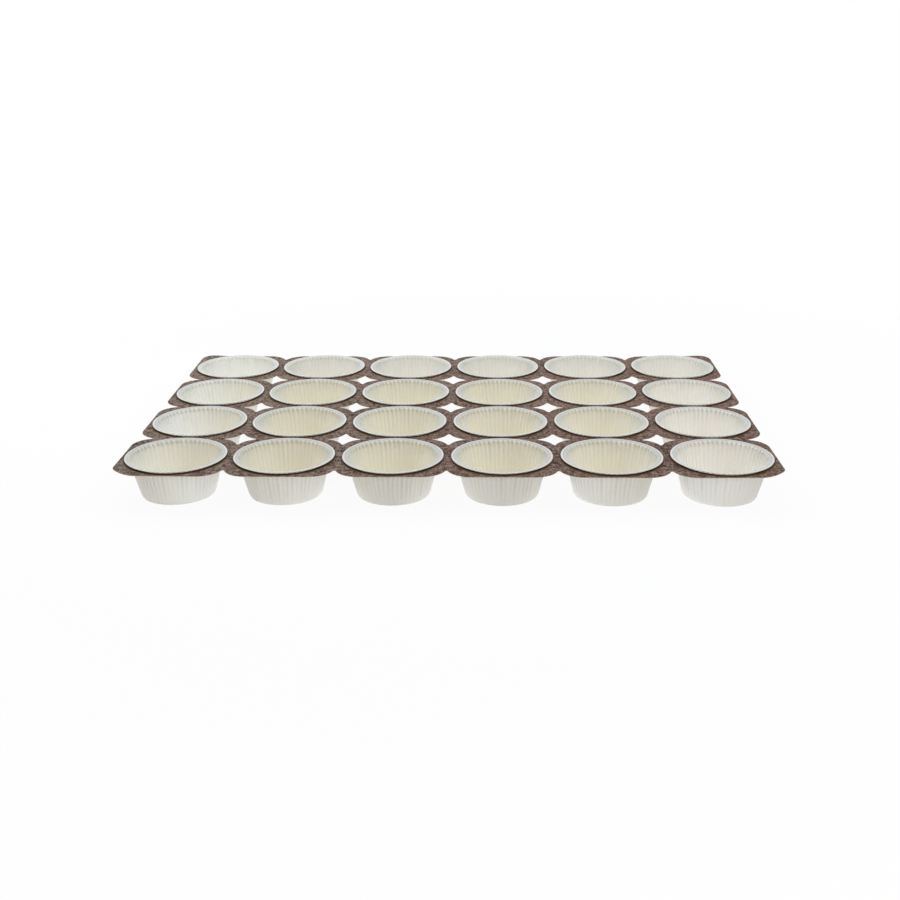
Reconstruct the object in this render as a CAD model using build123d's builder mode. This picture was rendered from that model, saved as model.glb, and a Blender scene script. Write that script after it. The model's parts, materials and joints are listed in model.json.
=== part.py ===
from build123d import *
import math
import os

# Paper muffin tray: a die-cut brown card that carries 24 pleated white paper baking cups.
# Millimetres, +Z up. The origin is on the table under the middle of the tray, +X runs along
# the long side and the front row of cups is on the -Y side.

# Layout of the cups
column_count = 6
row_count = 4
long_pitch = 97.0
cross_pitch = 96.0

# Paper cup
cup_height = 36.0
base_radius = 32.7
wall_radius = 41.3
paper_thickness = 0.4
pleat_count = 20
pleat_depth = 2.0

# Rolled rim of the cup
rim_radius = 45.1
rim_edge_drop = 0.8
rim_edge_lift = 0.9
rim_rounding = 0.6

# Die-cut card
card_thickness = 0.8
corner_radius = 21.5
corner_steps = 4
point_width = 2.4
hole_clearance = 0.3

# The rim's outer edge stands above the card and its underside falls from there to the edge of
# the hole, where it sits, and on to the wall, which it meets just inside the hole.
edge_level = cup_height - rim_edge_drop
card_top = edge_level - rim_edge_lift
hole_radius = wall_radius + hole_clearance
seat_level = card_top - hole_clearance * rim_edge_lift / (rim_radius - hole_radius)

# Each point of a star opening ends where it has narrowed to the point width, and a strip twice as
# wide joins the card across it from there on.
point_reach = math.sqrt(corner_radius**2 - (corner_radius - point_width / 2)**2)
strip_width = 2 * point_width

os.makedirs("parts", exist_ok=True)


# Corners of a regular polygon round the cup's axis, one corner for each pleat
def corner_ring(radius, height, turn_share=0):
    step = 2 * math.pi / pleat_count
    angles = [(i + turn_share) * step for i in range(pleat_count)]
    return [Vector(radius * math.cos(a), radius * math.sin(a), height) for a in angles]


# Closed body inside one skin of the cup's wall: a plain polygon at the bottom, where the paper is
# drawn smooth, and pleats that deepen with height, each of them folded from three flat facets.
# The inset is how far the skin lies inside the outer one.
def pleated_body(low_height, high_height, inset):
    rise = (wall_radius - base_radius) / seat_level
    ridge_radius = wall_radius + rise * (high_height - seat_level) - inset
    valley_radius = ridge_radius - pleat_depth * high_height / seat_level
    low = corner_ring(base_radius - inset, low_height)
    ridges = corner_ring(ridge_radius, high_height)
    valleys = corner_ring(valley_radius, high_height, turn_share=0.5)
    zigzag = [point for pair in zip(ridges, valleys) for point in pair]
    facets = [Face(Wire.make_polygon(low)), Face(Wire.make_polygon(zigzag))]
    for i in range(pleat_count):
        j = (i + 1) % pleat_count
        falling = (ridges[i], valleys[i], low[i])
        rising = (valleys[i], ridges[j], low[j])
        hollow = (low[i], valleys[i], low[j])
        facets += [Face(Wire.make_polygon(corners)) for corners in (falling, rising, hollow)]
    return Solid(Shell(facets))


# Closed body of the rim: a sloping underside from the wall out to the edge, then a bevel in to
# the top. The hollow of the cup is taken out of it with the rest.
def rim_body():
    seat = corner_ring(wall_radius, seat_level)
    edge = corner_ring(rim_radius, edge_level)
    top = corner_ring(rim_radius - rim_rounding, cup_height)
    facets = [Face(Wire.make_polygon(seat)), Face(Wire.make_polygon(top))]
    for low, high in ((seat, edge), (edge, top)):
        for i in range(pleat_count):
            j = (i + 1) % pleat_count
            facets.append(Face(Wire.make_polygon((low[i], low[j], high[j], high[i]))))
    return Solid(Shell(facets))


# Paper cup: the rim and the pleated wall below it, less the hollow inside
with BuildPart() as paper_cup:
    add(rim_body())
    add(pleated_body(0, seat_level, inset=0))
    add(pleated_body(paper_thickness, cup_height, inset=paper_thickness), mode=Mode.SUBTRACT)

# Outline of the card about one cup: as large as the spacing of the cups, each corner rounded in
# a few straight steps
def cell_outline():
    points = []
    for quarter, (side_x, side_y) in enumerate(((1, 1), (-1, 1), (-1, -1), (1, -1))):
        centre_x = side_x * (long_pitch / 2 - corner_radius)
        centre_y = side_y * (cross_pitch / 2 - corner_radius)
        for step in range(corner_steps + 1):
            angle = (quarter + step / corner_steps) * math.pi / 2
            x = centre_x + corner_radius * math.cos(angle)
            y = centre_y + corner_radius * math.sin(angle)
            points.append((x, y))
    return points


# Card: the outlines about all cups, joined side by side, which leaves a four-pointed star opening
# at every crossing and a notch between every two outer cups. A hole is cut for each cup.
with BuildPart() as tray_card:
    with BuildSketch(Plane.XY.offset(card_top - card_thickness)):
        with GridLocations(long_pitch, cross_pitch, column_count, row_count):
            Polygon(*cell_outline())
        with GridLocations(long_pitch, cross_pitch, column_count - 1, row_count):
            Rectangle(strip_width, cross_pitch - 2 * (corner_radius - point_reach))
        with GridLocations(long_pitch, cross_pitch, column_count, row_count - 1):
            Rectangle(long_pitch - 2 * (corner_radius - point_reach), strip_width)
        with GridLocations(long_pitch, cross_pitch, column_count, row_count):
            RegularPolygon(hole_radius, pleat_count, mode=Mode.SUBTRACT)
    extrude(amount=card_thickness)
tray_card.part.label = "tray_card"
export_step(tray_card.part, "parts/tray_card.step")

# The same cup in every hole, row 1 at the front and column 1 at the left
for row in range(row_count):
    for column in range(column_count):
        x = (column - (column_count - 1) / 2) * long_pitch
        y = (row - (row_count - 1) / 2) * cross_pitch
        name = f"cup_row{row + 1}_col{column + 1}"
        with BuildPart() as cup:
            with Locations((x, y)):
                add(paper_cup.part)
        cup.part.label = name
        export_step(cup.part, f"parts/{name}.step")
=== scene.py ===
import json
import math
import random

import bpy
import numpy as np
from mathutils import Matrix, Vector, geometry

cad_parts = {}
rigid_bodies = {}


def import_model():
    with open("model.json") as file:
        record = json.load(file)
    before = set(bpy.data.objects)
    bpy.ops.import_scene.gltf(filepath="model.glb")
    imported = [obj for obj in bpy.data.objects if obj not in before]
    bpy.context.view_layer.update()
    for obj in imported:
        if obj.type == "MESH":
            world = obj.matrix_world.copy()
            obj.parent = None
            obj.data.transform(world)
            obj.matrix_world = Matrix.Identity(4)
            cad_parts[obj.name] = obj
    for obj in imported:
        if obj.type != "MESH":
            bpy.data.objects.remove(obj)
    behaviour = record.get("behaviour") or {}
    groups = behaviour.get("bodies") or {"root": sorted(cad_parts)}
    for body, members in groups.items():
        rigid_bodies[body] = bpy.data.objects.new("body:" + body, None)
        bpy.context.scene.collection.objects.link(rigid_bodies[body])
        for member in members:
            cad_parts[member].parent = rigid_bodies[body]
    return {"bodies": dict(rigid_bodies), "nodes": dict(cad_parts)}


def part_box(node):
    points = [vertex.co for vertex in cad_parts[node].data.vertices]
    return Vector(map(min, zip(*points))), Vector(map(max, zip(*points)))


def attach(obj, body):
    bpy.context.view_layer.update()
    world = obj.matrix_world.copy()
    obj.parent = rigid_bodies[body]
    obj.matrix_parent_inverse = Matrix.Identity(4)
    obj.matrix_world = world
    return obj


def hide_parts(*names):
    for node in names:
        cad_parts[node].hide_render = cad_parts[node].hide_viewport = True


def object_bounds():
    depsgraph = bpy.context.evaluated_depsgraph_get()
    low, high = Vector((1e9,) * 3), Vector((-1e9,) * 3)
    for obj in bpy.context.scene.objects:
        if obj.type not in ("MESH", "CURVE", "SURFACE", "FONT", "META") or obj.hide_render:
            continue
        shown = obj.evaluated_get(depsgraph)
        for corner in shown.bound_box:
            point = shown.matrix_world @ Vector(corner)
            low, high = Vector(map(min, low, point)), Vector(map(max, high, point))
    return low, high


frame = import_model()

# Paper muffin tray: a die-cut brown card with pleated paper cups hanging in it by their rolled rims.
# Sizes in the dictionaries are millimetres unless a note says otherwise.
mm = 0.001
scene = bpy.context.scene
cadLow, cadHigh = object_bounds()

keptObjects = list(frame["nodes"].values()) + list(frame["bodies"].values())
for spare in [o for o in bpy.data.objects if o not in keptObjects]:
    bpy.data.objects.remove(spare)

# Camera, first, because everything is judged through it
cameraSet = {
    "place": (0.02863, -1.12452, 0.39755),   # metres
    "pitch": 20.0031,                        # degrees below the horizon
    "yaw": -1.5372,
    "roll": -0.3980,
    "lens": 47.0786,
    "sensor": 36.0,
    "clip": (0.01, 100.0),                   # metres
}


def makeCamera():
    pitch, yaw, roll = (math.radians(cameraSet[turn]) for turn in ("pitch", "yaw", "roll"))
    ahead = Vector((math.sin(yaw) * math.cos(pitch), math.cos(yaw) * math.cos(pitch), -math.sin(pitch)))
    level = Vector((math.cos(yaw), -math.sin(yaw), 0))
    upright = level.cross(ahead)
    side = math.cos(roll) * level + math.sin(roll) * upright
    top = math.cos(roll) * upright - math.sin(roll) * level
    data = bpy.data.cameras.new("trayCamera")
    data.lens = cameraSet["lens"]
    data.sensor_width = cameraSet["sensor"]
    data.clip_start, data.clip_end = cameraSet["clip"]
    camera = bpy.data.objects.new("trayCamera", data)
    turned = Matrix((side, top, -ahead)).transposed()
    camera.matrix_world = Matrix.Translation(cameraSet["place"]) @ turned.to_4x4()
    scene.collection.objects.link(camera)
    scene.camera = camera


makeCamera()
print("camera set")


# Shader maths written as Python
class Thread:
    # one output socket of a node tree, with the usual operators
    def __init__(self, tree, socket=None):
        self.tree = tree
        self.socket = socket

    def node(self, kind, settings=None, output=0, **sockets):
        # settings first, then the sockets by name or, as s0, s1 and so on, by number
        made = self.tree.nodes.new(kind)
        for name, value in (settings or {}).items():
            setattr(made, name, value)
        for name, value in sockets.items():
            number = name[1:]
            target = made.inputs[int(number)] if number.isdigit() else made.inputs[name.replace("_", " ")]
            if isinstance(value, Thread):
                self.tree.links.new(value.socket, target)
            else:
                target.default_value = value
        return Thread(self.tree, made.outputs[output]) if len(made.outputs) else made

    def reckon(self, operation, left, right=0.0, clamp=False):
        return self.node("ShaderNodeMath", {"operation": operation, "use_clamp": clamp}, s0=left, s1=right)

    def __add__(self, other):
        return self.reckon("ADD", self, other)

    def __radd__(self, other):
        return self.reckon("ADD", other, self)

    def __sub__(self, other):
        return self.reckon("SUBTRACT", self, other)

    def __rsub__(self, other):
        return self.reckon("SUBTRACT", other, self)

    def __mul__(self, other):
        return self.reckon("MULTIPLY", self, other)

    def __rmul__(self, other):
        return self.reckon("MULTIPLY", other, self)

    def __truediv__(self, other):
        return self.reckon("DIVIDE", self, other)

    def __rtruediv__(self, other):
        return self.reckon("DIVIDE", other, self)

    def __abs__(self):
        return self.reckon("ABSOLUTE", self)

    def held(self):
        # kept between 0 and 1
        return self.reckon("ADD", self, 0.0, clamp=True)

    def larger(self, other):
        return self.reckon("MAXIMUM", self, other)

    def tint(self, first, second):
        # this value mixes two colours
        return self.node("ShaderNodeMix", {"data_type": "RGBA"}, output=2, s0=self, s6=first, s7=second)

    def painted(self, name):
        # a share that is painted on the points of the mesh
        return self.node("ShaderNodeAttribute", {"attribute_name": name}, output=2)

    def spot(self):
        # where the surface is, in metres
        return self.node("ShaderNodeTexCoord", output=3)

    def along(self, axis):
        return self.node("ShaderNodeSeparateXYZ", output="xyz".index(axis), Vector=self)

    def stretched(self, amounts):
        return self.node("ShaderNodeVectorMath", {"operation": "MULTIPLY"}, s0=self, s1=amounts)

    def grain(self, size, detail=2.0, rough=0.5, warp=0.0):
        # noise whose spots are about that many millimetres across
        return self.node("ShaderNodeTexNoise", Vector=self, Scale=1 / (size * mm), Detail=detail,
                         Roughness=rough, Distortion=warp)


def newFinish(name):
    material = bpy.data.materials.new(name)
    material.use_nodes = True
    material.node_tree.nodes.clear()
    return material, Thread(material.node_tree)


def closeFinish(bench, shader):
    bench.node("ShaderNodeOutputMaterial", Surface=shader)


def colour(red, green, blue):
    return (red, green, blue, 1.0)


# Finish of the paper, with light and shade painted into its colour
paperSet = {
    "outside": colour(0.80, 0.79, 0.745),
    "outsidePale": colour(0.85, 0.835, 0.80),     # painted light at the right end of the tray
    "leftPale": 0.3,                              # how far the left end's painted light goes the same way
    "outsideInner": colour(0.96, 0.94, 0.885),    # painted light on the rows behind the front one
    "light": colour(1.0, 1.0, 0.97),              # painted light: the outside leans to this where it faces the middle
    "lightShare": 0.6,
    "dark": colour(0.10, 0.10, 0.09),             # painted shade, which it leans to where it faces away from the middle
    "darkShare": 0.18,
    # the inside's warm beige is partly the paper's own tone and partly painted light bounced within the cup
    "inside": colour(0.87, 0.825, 0.715),
    "insidePale": colour(0.93, 0.90, 0.85),       # painted light at the right end of the tray
    # painted light at the left end and at the back of the tray
    "insideLeft": colour(0.955, 0.955, 0.91),
    "insideBack": colour(0.855, 0.835, 0.79),
    "insideEnd": colour(0.72, 0.745, 0.72),       # painted bluish light at the left and right of each cup
    "endShare": 0.6,
    "rim": colour(0.695, 0.69, 0.665),
    "rimShare": 0.85,
    "groove": colour(0.46, 0.47, 0.49),           # painted shade along the inside of the roll
    "grooveShare": 0.85,
    # painted shade in the creases between the flutes, inside and out
    "crease": colour(0.40, 0.37, 0.27),
    "creaseShare": 0.54,
    "gap": colour(0.125, 0.056, 0.012),           # painted shade on the underside of the roll
    "stain": colour(0.60, 0.575, 0.50),           # what uneven paper leans to
    "stainShare": 0.2,
    "stainParts": (0.9, 1.1),                     # of it from the fibres and from the clouds
    "cloudSize": 7.0,
    "fibreSize": 0.55,
    "fibreStretch": (1.0, 1.0, 0.35),
    "bump": 0.35,
    "bumpDepth": 0.05 * mm,
    "bumpParts": (0.7, 0.3),                      # of it from the fibres and from the clouds
    "roughness": (0.56, 0.12),                    # in a dark fibre, and how much is added in a pale one
    "specular": 0.35,
    "glow": 0.7,                                  # light that passes through the thin paper
    "glowDepth": 0.65 * mm,
    "glowColour": (1.0, 0.92, 0.75),
}


def makePaper():
    material, bench = newFinish("bakingPaper")
    spot = bench.spot()
    cloud = spot.grain(paperSet["cloudSize"], detail=3.0)
    fibre = spot.stretched(paperSet["fibreStretch"]).grain(paperSet["fibreSize"], detail=3.0, rough=0.6)

    left, right, back = bench.painted("paleLeft"), bench.painted("paleRight"), bench.painted("paleBack")
    # painted light: the inside is paler at the back and at both ends of the tray
    inside = back.tint(paperSet["inside"], paperSet["insideBack"])
    inside = left.tint(right.tint(inside, paperSet["insidePale"]), paperSet["insideLeft"])
    inside = (bench.painted("endShare") * paperSet["endShare"]).tint(inside, paperSet["insideEnd"])

    # painted light: the outside is paler at the ends of the tray
    pale = (left * paperSet["leftPale"]).larger(right)
    outside = pale.tint(paperSet["outside"], paperSet["outsidePale"])
    # painted light on the walls of the rows behind the front one
    outside = bench.painted("innerRow").tint(outside, paperSet["outsideInner"])
    # painted light and shade by where each wall faces
    outside = (bench.painted("wallLight") * paperSet["lightShare"]).tint(outside, paperSet["light"])
    outside = (bench.painted("wallDark") * paperSet["darkShare"]).tint(outside, paperSet["dark"])

    wall = bench.painted("innerSide").tint(outside, inside)
    # the rim's tone, then painted shade in the groove and in the creases
    for place in ("rim", "groove", "crease"):
        share = bench.painted(place + "Share") * paperSet[place + "Share"]
        wall = share.tint(wall, paperSet[place])
    fromFibre, fromCloud = paperSet["stainParts"]
    stain = ((0.5 - fibre) * fromFibre + (0.5 - cloud) * fromCloud).held() * paperSet["stainShare"]
    wall = stain.tint(wall, paperSet["stain"])
    # painted shade under the roll
    wall = bench.painted("gapShare").tint(wall, paperSet["gap"])

    smooth, added = paperSet["roughness"]
    fromFibre, fromCloud = paperSet["bumpParts"]
    relief = bench.node("ShaderNodeBump", Strength=paperSet["bump"], Distance=paperSet["bumpDepth"],
                        Height=fibre * fromFibre + cloud * fromCloud)
    body = bench.node("ShaderNodeBsdfPrincipled", Base_Color=wall, Normal=relief,
                      Roughness=fibre * added + smooth, Specular_IOR_Level=paperSet["specular"],
                      Subsurface_Weight=paperSet["glow"], Subsurface_Scale=paperSet["glowDepth"],
                      Subsurface_Radius=paperSet["glowColour"])
    closeFinish(bench, body)
    return material


# Finish of the card, which is lighter at the back and greyer at the left
cardFinishSet = {
    "dark": colour(0.036, 0.020, 0.013),
    "light": colour(0.294, 0.195, 0.155),
    "lightLeft": colour(0.290, 0.218, 0.172),
    "contrast": 9.5,
    "lightness": 0.43,
    "backLightness": 0.15,                     # added at the back
    "leftLightness": 0.06,
    "leftToRight": (-0.25, 0.25),              # metres over which the left tone goes over to the right one
    "frontToBack": (-0.12, 0.10),
    "red": colour(0.185, 0.092, 0.072),
    "redShare": (0.15, 0.60),                  # at the left and the right end
    "redSize": 6.5,
    "redSpots": (0.52, 6.0),                   # where in the noise they start, and how sharply
    "shaded": colour(0.125, 0.058, 0.014),     # under the rims
    "shadedShare": 0.9,
    "cutEdge": colour(0.44, 0.29, 0.18),
    "cutShare": 0.8,
    "cutFacing": (0.8, 4.0),                   # how flat a face is where it starts, and how sharply
    "pulpParts": (0.36, 0.22, 0.20, 0.16, 0.06),   # mottle, fibres along and across, specks, clouds
    "mottleSize": 3.8,
    "fibreSize": (2.0, 1.7),                   # along the tray and across it
    "fibreStretch": 0.22,
    "speckSize": 1.3,
    "cloudSize": 24.0,
    "bump": 0.5,
    "bumpDepth": 0.12 * mm,
    "bumpParts": (0.4, 0.4, 0.5),              # fibres along and across, mottle
    "roughness": (0.83, 0.1),                  # in a dark spot, and how much is added in a pale one
    "specular": 0.22,
}


def makeCardFinish():
    material, bench = newFinish("brownCard")
    spot = bench.spot()
    stretch = cardFinishSet["fibreStretch"]
    alongSize, acrossSize = cardFinishSet["fibreSize"]
    mottle = spot.grain(cardFinishSet["mottleSize"], detail=3.0, rough=0.75, warp=0.6)
    along = spot.stretched((stretch, 1.0, 1.0)).grain(alongSize, detail=2.0, rough=0.6, warp=0.5)
    across = spot.stretched((1.0, stretch, 1.0)).grain(acrossSize, detail=2.0, rough=0.6, warp=0.5)
    speck = spot.grain(cardFinishSet["speckSize"], detail=1.0)
    cloud = spot.grain(cardFinishSet["cloudSize"], detail=2.0)
    noises = (mottle, along, across, speck, cloud)
    pulp = sum(noise * part for noise, part in zip(noises, cardFinishSet["pulpParts"]))

    # the tone, which changes from left to right and from front to back
    leftEnd, rightEnd = cardFinishSet["leftToRight"]
    front, back = cardFinishSet["frontToBack"]
    toRight = ((spot.along("x") - leftEnd) / (rightEnd - leftEnd)).held()
    toBack = ((spot.along("y") - front) / (back - front)).held()
    lightness = toBack * cardFinishSet["backLightness"] + (1 - toRight) * cardFinishSet["leftLightness"]
    lightness = lightness + cardFinishSet["lightness"]
    shade = ((pulp - 0.5) * cardFinishSet["contrast"] + lightness).held()
    light = toRight.tint(cardFinishSet["lightLeft"], cardFinishSet["light"])
    face = shade.tint(cardFinishSet["dark"], light)

    redLeft, redRight = cardFinishSet["redShare"]
    start, sharpness = cardFinishSet["redSpots"]
    redSpots = spot.stretched((1.0, 1.0, 2.0)).grain(cardFinishSet["redSize"], detail=2.0)
    reddish = ((redSpots - start) * sharpness).held() * (toRight * (redRight - redLeft) + redLeft)
    face = reddish.tint(face, cardFinishSet["red"])
    # painted shadow of the rims on the card
    face = (bench.painted("underRim") * cardFinishSet["shadedShare"]).tint(face, cardFinishSet["shaded"])
    upward = abs(bench.node("ShaderNodeNewGeometry", output=1).along("z"))
    start, sharpness = cardFinishSet["cutFacing"]
    cutShare = ((start - upward) * sharpness).held() * cardFinishSet["cutShare"]
    face = cutShare.tint(face, cardFinishSet["cutEdge"])

    smooth, added = cardFinishSet["roughness"]
    alongPart, acrossPart, mottlePart = cardFinishSet["bumpParts"]
    relief = bench.node("ShaderNodeBump",
                        Strength=cardFinishSet["bump"], Distance=cardFinishSet["bumpDepth"],
                        Height=along * alongPart + across * acrossPart + mottle * mottlePart)
    body = bench.node("ShaderNodeBsdfPrincipled", Base_Color=face, Normal=relief,
                      Roughness=smooth + mottle * added,
                      Specular_IOR_Level=cardFinishSet["specular"])
    closeFinish(bench, body)
    return material


paperFinish = makePaper()
cardFinish = makeCardFinish()
print("finishes mixed")

# Paper cups. Pairs named heights, turns or reach are ranges: a share grows from 0 at the first
# number to 1 at the second.
cupSet = {
    "flutes": 57,
    "steps": 6,                          # mesh columns in one flute
    "baseRadius": 32.7,
    "wallRadius": 41.3,                  # outside of the wall where the rim starts
    "wallTop": 34.2,
    "paper": 0.35,
    "fluteDepth": 1.8,
    "fluteHeights": (1.0, 34.2),         # over which the flutes deepen
    "fluteRise": 0.7,                    # below 1 they deepen quickly at first
    "pocketHeights": (28.0, 32.5),       # over which they open into pockets under the rim
    "pocketShare": 0.35,                 # of their depth that they only have there
    "depthSpread": 0.35,
    "spacingSpread": 0.14,
    "drift": 0.10,                       # how far a flute leans over its height, in flutes
    "dipDepth": 0.16,                    # of the groove inside the roll where it crosses a valley
    "rimWobble": 0.08,
    "calm": 0.35,                        # how far the flutes fade out low down in some places
    "calmHeights": (30.0, 25.0),
    # painted light, paler than in the middle of the tray: from here outwards to here, and how much
    "paleLeft": (200.0, 270.0, 1.0),
    "paleRight": (150.0, 235.0, 0.9),
    "paleBack": (90.0, 165.0, 1.0),
    "innerRow": (-140.0, -60.0, 1.0),
    "frontLeft": 0.5,                    # how much of the left's painted light the front row has
    "paleHeights": (1.0, 9.0),           # the bottoms stay as they are
    # how far the painted light of the back takes away from the other tones
    "backFades": {"groove": 0.5, "crease": 0.4, "paleRight": 0.75, "innerRow": 0.5},
    "ridgeWhite": 0.45,                  # on the ridges just inside the rim
    "ridgeHeights": (31.0, 33.5),
    "endTurns": (0.72, 0.97),            # the painted bluish light, by how far the wall faces left or right
    "endHeights": (12.0, 28.0),
    "creaseLow": 0.22,                   # share of the painted crease shade below the crease heights
    "creaseHeights": (31.0, 33.0),
    "outerCrease": (0.6, 0.5),           # painted shade in the outside creases, and what is added low down
    "outerCreaseHeights": (28.0, 20.0),
    "toneReach": 205.0,                  # from the middle of the tray to where the painted light and shade of the walls differ most
    "sideLight": 0.3,
    "frontDark": 0.6,
    "frontTurns": (0.6, 1.0),
    "frontReach": (145.5, 48.5),
}

# rim section from the inside over the roll to the underside: radius, height, flute share, dip share,
# share of rim white, share of painted shade under the roll, share of painted shade in the roll's groove
rimSection = [
    (41.35, 34.55, 0.95, 0.0, 0.0, 0.0, 0.0),
    (41.80, 35.05, 0.85, 0.0, 0.1, 0.0, 0.0),
    (42.30, 35.45, 0.60, 0.2, 0.1, 0.0, 0.4),
    (42.75, 35.64, 0.35, 0.5, 0.1, 0.0, 1.0),
    (43.20, 35.78, 0.12, 0.4, 0.3, 0.0, 0.9),
    (43.65, 35.91, 0.0, 0.1, 1.0, 0.0, 0.0),
    (44.60, 35.88, 0.0, 0.0, 1.0, 0.0, 0.0),
    (44.95, 35.68, 0.0, 0.0, 0.6, 0.0, 0.0),
    (45.05, 35.42, 0.0, 0.0, 0.2, 0.1, 0.0),
    (44.95, 35.22, 0.0, 0.0, 0.2, 0.8, 0.0),
    (44.60, 35.12, 0.0, 0.0, 0.0, 1.0, 0.0),
    (43.50, 35.00, 0.0, 0.0, 0.0, 1.0, 0.0),
    (42.50, 34.75, 0.05, 0.0, 0.0, 1.0, 0.0),
    (41.80, 34.30, 0.15, 0.0, 0.0, 1.0, 0.0),
    (41.45, 33.80, 0.45, 0.0, 0.0, 0.9, 0.0),
]
innerRimRows = 4    # the first rows of the rim count as the inside of the cup
innerHeights = [2.3, 4.5, 8.0, 12.0, 16.5, 21.0, 25.5, 29.0, 31.2, 32.6, 33.7]
outerHeights = [33.0, 31.6, 29.0, 25.5, 21.0, 16.5, 12.0, 8.0, 4.5, 2.0]

# the base: how far in from its radius each ring lies, and how high
innerBase = [(22.7, 0.0), (10.7, 0.0), (3.7, 0.0), (1.9, 0.05), (0.95, 0.40)]
outerBase = [(0.05, 0.85), (0.50, 0.28), (1.3, 0.04), (2.4, 0.0), (12.7, 0.0)]


def ramp(value, start, end):
    # a share that is 0 up to the start and 1 from the end on
    return np.clip((value - start) / (end - start), 0, 1)


def wallRadiusAt(height):
    share = height / cupSet["wallTop"]
    return cupSet["baseRadius"] + (cupSet["wallRadius"] - cupSet["baseRadius"]) * share


def fluteShareAt(height):
    rise = ramp(height, *cupSet["fluteHeights"])
    pocket = cupSet["pocketShare"]
    return rise ** cupSet["fluteRise"] * (1 - pocket + pocket * ramp(height, *cupSet["pocketHeights"]))


def cupSection():
    # rows of radius, height, flute share, dip share, rim share, shares of painted shade in the gap and in
    # the groove, inner side
    paper, base = cupSet["paper"], cupSet["baseRadius"]
    rows = [(base - inset, paper + lift, 0, 0, 0, 0, 0, 1) for inset, lift in innerBase]
    for height in innerHeights:
        rows.append((wallRadiusAt(height) - paper, height, fluteShareAt(height), 0, 0, 0, 0, 1))
    for i, step in enumerate(rimSection):
        rows.append((*step, 1 if i < innerRimRows else 0))
    for height in outerHeights:
        rows.append((wallRadiusAt(height), height, fluteShareAt(height), 0, 0, 0, 0, 0))
    rows += [(base - inset, height, 0, 0, 0, 0, 0, 0) for inset, height in outerBase]
    return np.array(rows, float)


def cupColumns(dice):
    # angles of the mesh columns, how deep each lies in a valley between two flutes, and how far it leans
    flutes, steps = cupSet["flutes"], cupSet["steps"]
    pitch = 2 * math.pi / flutes
    turn = dice.uniform(0, pitch)
    spread = cupSet["spacingSpread"]
    valleys = [turn + pitch * (i + dice.uniform(-0.5, 0.5) * spread) for i in range(flutes)]
    depths = [1 + dice.uniform(-1, 1) * cupSet["depthSpread"] for _ in range(flutes)]
    leans = [dice.uniform(-1, 1) * cupSet["drift"] * pitch for _ in range(flutes)]
    angles, sinks, drifts = [], [], []
    for i in range(flutes):
        j = (i + 1) % flutes
        gap = valleys[j] - valleys[i] + (2 * math.pi if j == 0 else 0)
        for step in range(steps):
            share = step / steps
            angles.append(valleys[i] + gap * share)
            near = max(math.cos(math.pi * share), 0.0) ** 2
            far = max(-math.cos(math.pi * share), 0.0) ** 2
            sinks.append(near * depths[i] + far * depths[j])
            drifts.append(leans[i] * (1 - share) + leans[j] * share)
    return np.array(angles), np.array(sinks), np.array(drifts)


def paintedLightShare(side, outward):
    start, end, share = cupSet[side]
    return share * ramp(outward / mm, start, end)


def paintedWallShading(angles, middle):
    # painted light on walls that face the middle of the tray, painted shade on those that face away or
    # straight ahead
    toMiddle = cupSet["sideLight"] * np.abs(np.cos(angles)) - np.cos(angles) * middle / cupSet["toneReach"]
    front = ramp(-np.sin(angles), *cupSet["frontTurns"]) * ramp(abs(middle), *cupSet["frontReach"])
    return np.clip(toMiddle - cupSet["frontDark"] * front, -1, 1)


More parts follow.
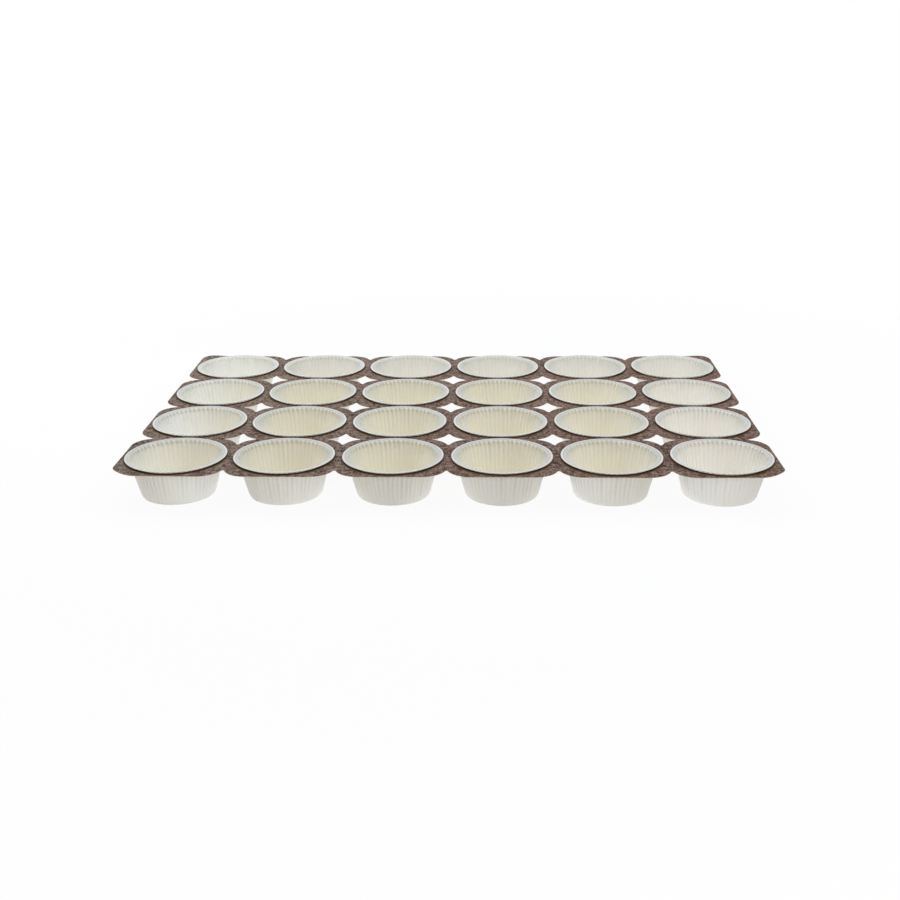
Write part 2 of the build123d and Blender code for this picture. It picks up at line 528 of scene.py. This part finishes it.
def makeCup(name, centre, seed):
    dice = random.Random(seed)
    section = cupSection()
    radius, height, flute, dip, rim, gap, groove, inner = (section[:, i:i + 1] for i in range(8))
    angles, sinks, drifts = cupColumns(dice)
    lobes = sum(dice.uniform(0.3, 1.0) / k * np.sin(k * angles + dice.uniform(0, 6.3)) for k in (2, 3, 5))
    patches = sum(np.sin(k * angles + dice.uniform(0, 6.3)) for k in (1, 2, 4)) / 3

    # the form: rings of points from the middle of the bottom over the rim and down to the base
    rise = ramp(height, 0, cupSet["wallTop"])
    calm = cupSet["calm"] * ramp(height, *cupSet["calmHeights"]) * np.clip(0.5 + patches, 0, 1)
    folded = flute * (1 - calm)
    reach = radius - folded * cupSet["fluteDepth"] * sinks + cupSet["rimWobble"] * rise ** 2 * lobes
    turned = angles + drifts * (rise - 0.5) * (flute > 0)
    level = height - dip * cupSet["dipDepth"] * sinks
    x = centre[0] + reach * np.cos(turned) * mm
    y = centre[1] + reach * np.sin(turned) * mm
    points = np.stack([x, y, level * mm], axis=-1)
    here = np.arange(x.size).reshape(x.shape)
    after = np.roll(here, -1, axis=1)
    quads = np.stack([here[:-1], here[1:], after[1:], after[:-1]], axis=-1).reshape(-1, 4)
    faces = quads.tolist() + [here[0].tolist(), here[-1][::-1].tolist()]
    mesh = bpy.data.meshes.new(name)
    mesh.from_pydata(points.reshape(-1, 3).tolist(), [], faces)

    # the tones, painted on the points; most are painted light and shade
    offBottom = np.where(inner > 0.5, ramp(height, *cupSet["paleHeights"]), 1.0)
    paleBack = offBottom * paintedLightShare("paleBack", y)
    faded = {tone: 1 - fade * paleBack for tone, fade in cupSet["backFades"].items()}
    innerRow = paintedLightShare("innerRow", centre[1])
    frontLeft = cupSet["frontLeft"]
    ridge = cupSet["ridgeWhite"] * ramp(height, *cupSet["ridgeHeights"]) * sinks * inner
    tone = paintedWallShading(angles, centre[0] / mm)
    creaseLow = cupSet["creaseLow"]
    innerCreaseShade = (1 - sinks) * folded * faded["crease"]
    innerCreaseShade = innerCreaseShade * (creaseLow + (1 - creaseLow) * ramp(height, *cupSet["creaseHeights"]))
    plain, added = cupSet["outerCrease"]
    outerCrease = sinks * folded * (plain + added * ramp(height, *cupSet["outerCreaseHeights"]))
    shares = {
        "endShare": ramp(np.abs(np.cos(angles)), *cupSet["endTurns"]) * ramp(height, *cupSet["endHeights"]),
        "innerSide": inner,
        "rimShare": np.clip(rim + ridge, 0, 1),
        "gapShare": gap,
        "grooveShare": groove * faded["groove"],
        "creaseShare": np.where(inner < 0.5, outerCrease, innerCreaseShade),
        "wallLight": np.clip(tone, 0, 1),
        "wallDark": np.clip(-tone, 0, 1),
        "paleLeft": offBottom * paintedLightShare("paleLeft", -x) * (frontLeft + (1 - frontLeft) * innerRow),
        "paleRight": offBottom * paintedLightShare("paleRight", x) * faded["paleRight"],
        "paleBack": paleBack,
        "innerRow": innerRow * faded["innerRow"],
    }
    for label, values in shares.items():
        layer = mesh.attributes.new(label, "FLOAT", "POINT")
        layer.data.foreach_set("value", np.broadcast_to(values, x.shape).astype(np.float32).ravel())
    mesh.shade_smooth()
    mesh.materials.append(paperFinish)
    cup = bpy.data.objects.new(name, mesh)
    scene.collection.objects.link(cup)
    return cup


def makeCups():
    for node in sorted(n for n in frame["nodes"] if n.startswith("cup_row")):
        low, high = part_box(node)
        centre = ((low.x + high.x) / 2, (low.y + high.y) / 2)
        label = node.replace("cup_", "")
        cup = makeCup("bakingCup_" + label, centre, "muffin " + label)
        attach(cup, "root")
        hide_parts(node)


makeCups()
print("cups folded")

# Die-cut card
cardSet = {
    "columns": 6,
    "rows": 4,
    "longPitch": 97.0,
    "crossPitch": 96.0,
    "cornerRadius": 21.5,    # of the rounded square of card about each cup
    "pointGap": 2.4,         # how wide a star opening's points end
    "pointRound": 0.8,
    "sideTrim": 0.06,        # keeps the lifted edge inside the card's length and width
    "holeRadius": 41.75,
    "shadeRing": 45.1,       # the card is in the rim's shade up to here and clear of it at the next
    "lightRing": 45.9,
    "shadeShift": 1.1,       # both rings lie this far to the front, as the light comes from above the back
    "top": 33.55,
    "thickness": 0.42,
    "arcSteps": 18,
    "ringTurn": 3,           # degrees between the points of a ring
    "meshStep": 6.0,         # between the points inside the sheet
    "meshSpare": 1.8,        # how far they stay off the card's edges
    "ringSpare": 47.8,       # and off the middle of each cup
    "edgeSpare": 0.03,       # a triangle that near to the outside of an edge still counts
    "wave": 0.12,
    "waveReach": (61.0, 47.0, 130.0),    # how slow the wave is along the tray, across it and slanting
    "cornerLift": 2.1,       # how far the card's free corners curl up
    "curlLong": (29.0, 7.0),     # the curl grows over this stretch, measured in from the ends
    "curlCross": (28.0, 6.0),    # and this one, in from the front and back
    "curlShare": 0.25,           # along the ends
    "curlFrom": (46.0, 59.3),    # and over these distances from the cup's middle
    "sharpTurn": 40,         # degrees; sharper edges aren't smoothed
}
halfLong = cardSet["columns"] * cardSet["longPitch"] / 2
halfCross = cardSet["rows"] * cardSet["crossPitch"] / 2
cornerRadius = cardSet["cornerRadius"]
pointReach = math.sqrt(cornerRadius ** 2 - (cornerRadius - cardSet["pointGap"] / 2) ** 2)
pointTurn = math.asin(pointReach / cornerRadius)


def pointEnd(left, right):
    # three points that round off the blunt end between its two corners, to the right of the walk
    (x0, y0), (x1, y1) = left, right
    dx, dy = x1 - x0, y1 - y0
    push = cardSet["pointRound"] / math.hypot(dx, dy)
    return [(x0 + dx * share + dy * push * bulge, y0 + dy * share - dx * push * bulge)
            for share, bulge in ((0.12, 0.6), (0.5, 1.0), (0.88, 0.6))]


def arcTurns(first, last):
    return [first + (last - first) * i / cardSet["arcSteps"] for i in range(cardSet["arcSteps"] + 1)]


def sideOutline(cells, pitch, reachAlong, reachOut):
    # one side of the card as steps along it and out from the middle, with a notch between two cells
    line = []
    for i in range(cells):
        left = -reachAlong + i * pitch
        right = left + pitch
        if i > 0:
            flank = []
            for turn in arcTurns(pointTurn, math.pi / 2):
                inset, drop = cornerRadius * (1 - math.cos(turn)), cornerRadius * (1 - math.sin(turn))
                flank.append((left + inset, reachOut - drop))
            line += pointEnd(line[-1], flank[0]) + flank
        for turn in arcTurns(math.pi / 2, pointTurn if i < cells - 1 else 0.0):
            inset, drop = cornerRadius * (1 - math.cos(turn)), cornerRadius * (1 - math.sin(turn))
            line.append((right - inset, reachOut - drop))
    trim = cardSet["sideTrim"]
    return [(min(max(along, trim - reachAlong), reachAlong - trim), min(out, reachOut - trim))
            for along, out in line]


def cardOutline():
    front = sideOutline(cardSet["columns"], cardSet["longPitch"], halfLong, halfCross)
    end = sideOutline(cardSet["rows"], cardSet["crossPitch"], halfCross, halfLong)
    return ([(along, -out) for along, out in front] + [(out, along) for along, out in end]
            + [(-along, out) for along, out in front] + [(-out, -along) for along, out in end])


def starOutline(centre):
    # four arcs that curve in, one from each cell about the crossing, and a short blunt end at each point
    outline = []
    for quarter in range(4):
        cos, sin = round(math.cos(quarter * math.pi / 2)), round(math.sin(quarter * math.pi / 2))
        arc = []
        for turn in arcTurns(pointTurn, math.pi / 2 - pointTurn):
            x, y = cornerRadius * (1 - math.sin(turn)), cornerRadius * (1 - math.cos(turn))
            arc.append((centre[0] + x * cos - y * sin, centre[1] + x * sin + y * cos))
        if outline:
            outline += pointEnd(outline[-1], arc[0])
        outline += arc
    return outline + pointEnd(outline[-1], outline[0])


def cupCentre(column, row):
    x = (column + 0.5) * cardSet["longPitch"] - halfLong
    y = (row + 0.5) * cardSet["crossPitch"] - halfCross
    return x, y


def ringAbout(centre, radius):
    turns = [math.radians(a) for a in range(0, 360, cardSet["ringTurn"])]
    return [(centre[0] + radius * math.cos(turn), centre[1] + radius * math.sin(turn)) for turn in turns]


def nearestCup(x, y, shift=0.0):
    column = min(max(math.floor((x + halfLong) / cardSet["longPitch"]), 0), cardSet["columns"] - 1)
    row = min(max(math.floor((y + halfCross) / cardSet["crossPitch"]), 0), cardSet["rows"] - 1)
    centre = cupCentre(column, row)
    return math.hypot(x - centre[0], y - centre[1] + shift)


def onCard(x, y, spare=0.0):
    # whether a point lies on the sheet and at least that far from its edges
    if abs(x) > halfLong - spare or abs(y) > halfCross - spare:
        return False
    if nearestCup(x, y) < cardSet["holeRadius"] + spare:
        return False
    crossX = round((x + halfLong) / cardSet["longPitch"]) * cardSet["longPitch"] - halfLong
    crossY = round((y + halfCross) / cardSet["crossPitch"]) * cardSet["crossPitch"] - halfCross
    awayX, awayY = abs(x - crossX), abs(y - crossY)
    tip = cornerRadius - pointReach + cardSet["pointRound"] / 2 + spare
    if awayX > (tip if abs(crossY) < halfCross - 1 else cornerRadius):
        return True
    if awayY > (tip if abs(crossX) < halfLong - 1 else cornerRadius):
        return True
    return math.hypot(cornerRadius - awayX, cornerRadius - awayY) < cornerRadius - spare


def cardLevel(x, y):
    # flat under the rims, with a slow wave, and curling up towards the four corners of the tray
    along, across, slanting = cardSet["waveReach"]
    wave = cardSet["wave"] * (math.sin(x / along + 0.7) + math.sin(y / across + x / slanting)) / 2
    long = ramp(halfLong - abs(x), *cardSet["curlLong"])
    cross = min(ramp(halfCross - abs(y), *cardSet["curlCross"]) + cardSet["curlShare"], 1.0)
    start, end = cardSet["curlFrom"]
    away = max((nearestCup(x, y) - start) / (end - start), 0.0)
    return cardSet["top"] + wave + cardSet["cornerLift"] * long * cross * away ** 1.3


def cardPoints():
    # the outlines of the sheet, its holes and its openings, then points inside it and about each hole
    cups = [(column, row) for column in range(cardSet["columns"]) for row in range(cardSet["rows"])]
    loops = [cardOutline()]
    for column, row in cups:
        x, y = cupCentre(column, row)
        loops.append(ringAbout((x, y), cardSet["holeRadius"]))
        if column and row:
            loops.append(starOutline((x - cardSet["longPitch"] / 2, y - cardSet["crossPitch"] / 2)))
    points, edges = [], []
    for loop in loops:
        first = len(points)
        points += loop
        edges += [(first + i, first + (i + 1) % len(loop)) for i in range(len(loop))]
    step, slant = cardSet["meshStep"], 0.866
    columns, rows = round(halfLong / step), round(halfCross / step * 1.2)
    for i in range(-columns, columns + 1):
        for j in range(-rows, rows + 1):
            x, y = (i + (j % 2) / 2) * step, j * step * slant
            if onCard(x, y, cardSet["meshSpare"]) and nearestCup(x, y) > cardSet["ringSpare"]:
                points.append((x, y))
    for column, row in cups:
        x, y = cupCentre(column, row)
        for ring in ("shadeRing", "lightRing"):
            points += ringAbout((x, y - cardSet["shadeShift"]), cardSet[ring])
    return points, edges


def makeCard():
    points, edges = cardPoints()
    flat, _, triangles, *_ = geometry.delaunay_2d_cdt([Vector(q) for q in points], edges, [], 0, 1e-5)
    kept = []
    for corners in triangles:
        x, y = (sum(flat[k][axis] for k in corners) / 3 for axis in (0, 1))
        if onCard(x, y, -cardSet["edgeSpare"]):
            kept.append(corners)
    mesh = bpy.data.meshes.new("dieCutCard")
    mesh.from_pydata([(q.x * mm, q.y * mm, cardLevel(q.x, q.y) * mm) for q in flat], [], kept)
    # painted shadow of each rim, shifted to the front
    away = np.array([nearestCup(q.x, q.y, cardSet["shadeShift"]) for q in flat])
    shade = ramp(away, cardSet["lightRing"], cardSet["shadeRing"])
    mesh.attributes.new("underRim", "FLOAT", "POINT").data.foreach_set("value", shade.astype(np.float32))
    mesh.materials.append(cardFinish)
    sheet = bpy.data.objects.new("dieCutCard", mesh)
    scene.collection.objects.link(sheet)
    board = sheet.modifiers.new("board", "SOLIDIFY")
    board.thickness = cardSet["thickness"] * mm
    board.offset = -1.0
    bpy.context.view_layer.update()
    solid = bpy.data.meshes.new_from_object(sheet.evaluated_get(bpy.context.evaluated_depsgraph_get()))
    sheet.modifiers.clear()
    sheet.data = solid
    solid.name = "dieCutCard"
    solid.shade_smooth()
    solid.set_sharp_from_angle(angle=math.radians(cardSet["sharpTurn"]))
    return sheet


card = makeCard()
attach(card, "root")
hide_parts("tray_card")
print("card cut")

# Floor, world and lamps, in metres
lightSet = {
    "white": colour(1, 1, 1),
    "floor": colour(0.92, 0.92, 0.92),
    "floorReach": 40.0,
    "floorGlow": (0.93, 1.0),   # share of plain white in what the camera sees of the floor, near and far
    "floorFade": (0.45, 0.40),  # from the middle to where it starts to rise, and over which it does
    "floorFill": (0.65, 1.0),   # share of the floor's own white glow in the light it sends onto the tray, around and below
    "fillInset": (0.0, 0.01),   # the second starts this far in from the tray's ends and its sides
    "fillFade": 0.03,
    "sky": colour(0.95, 0.975, 1.0),
    "skyLevel": 0.57,
    "lampColour": (0.95, 0.98, 1.0),
    "lamps": {                  # place, size and power; each points at the middle of the tray
        "topLamp": ((-0.20, 0.30, 1.5), 1.2, 3.6),
        "leftLamp": ((-0.62, 0.14, 0.72), 0.4, 1.8),
        "rightLamp": ((0.66, -0.34, 0.72), 0.4, 1.9),
        "backLamp": ((0.0, 0.95, 0.80), 0.7, 1.0),
    },
}


def seenPlainly(bench):
    # camera, glossy and transmission rays see the white surroundings
    rays = ("Is Camera Ray", "Is Glossy Ray", "Is Transmission Ray")
    camera, glossy, through = (bench.node("ShaderNodeLightPath", output=ray) for ray in rays)
    return camera.larger(glossy).larger(through)


def makeFloor():
    material, bench = newFinish("paleFloor")
    matt = bench.node("ShaderNodeBsdfDiffuse", Color=lightSet["floor"])
    glow = bench.node("ShaderNodeEmission", Color=lightSet["white"], Strength=1.0)
    spot = bench.spot()
    away = bench.node("ShaderNodeVectorMath", {"operation": "LENGTH"}, output=1, s0=spot)
    near, far = lightSet["floorGlow"]
    start, width = lightSet["floorFade"]
    glowShare = ((away - start) / width).held() * (far - near) + near
    around, under = lightSet["floorFill"]
    insetLong, insetCross = lightSet["fillInset"]
    inLength = ((cadHigh[0] - insetLong - abs(spot.along("x"))) / lightSet["fillFade"]).held()
    inWidth = ((cadHigh[1] - insetCross - abs(spot.along("y"))) / lightSet["fillFade"]).held()
    fill = inLength * inWidth * (under - around) + around
    seen = seenPlainly(bench)
    white = seen * glowShare + (1 - seen) * fill
    closeFinish(bench, bench.node("ShaderNodeMixShader", s0=white, s1=matt, s2=glow))
    reach = lightSet["floorReach"]
    corners = [(-reach, -reach, 0), (reach, -reach, 0), (reach, reach, 0), (-reach, reach, 0)]
    mesh = bpy.data.meshes.new("paleFloor")
    mesh.from_pydata(corners, [], [(0, 1, 2, 3)])
    mesh.materials.append(material)
    floor = bpy.data.objects.new("paleFloor", mesh)
    scene.collection.objects.link(floor)


def makeLight():
    world = bpy.data.worlds.new("whiteRoom")
    world.use_nodes = True
    world.node_tree.nodes.clear()
    bench = Thread(world.node_tree)
    around = bench.node("ShaderNodeBackground", Color=lightSet["sky"], Strength=lightSet["skyLevel"])
    plain = bench.node("ShaderNodeBackground", Color=lightSet["white"], Strength=1.0)
    room = bench.node("ShaderNodeMixShader", s0=seenPlainly(bench), s1=around, s2=plain)
    bench.node("ShaderNodeOutputWorld", Surface=room)
    scene.world = world
    for name, (place, size, power) in lightSet["lamps"].items():
        lamp = bpy.data.lights.new(name, "AREA")
        lamp.shape = "DISK"
        lamp.size = size
        lamp.energy = power
        lamp.color = lightSet["lampColour"]
        lampObject = bpy.data.objects.new(name, lamp)
        spot = Vector(place)
        aim = (-spot).to_track_quat("-Z", "Y").to_matrix().to_4x4()
        lampObject.matrix_world = Matrix.Translation(spot) @ aim
        scene.collection.objects.link(lampObject)


makeFloor()
makeLight()
scene.view_settings.view_transform = "Standard"
print("floor and lamps set")
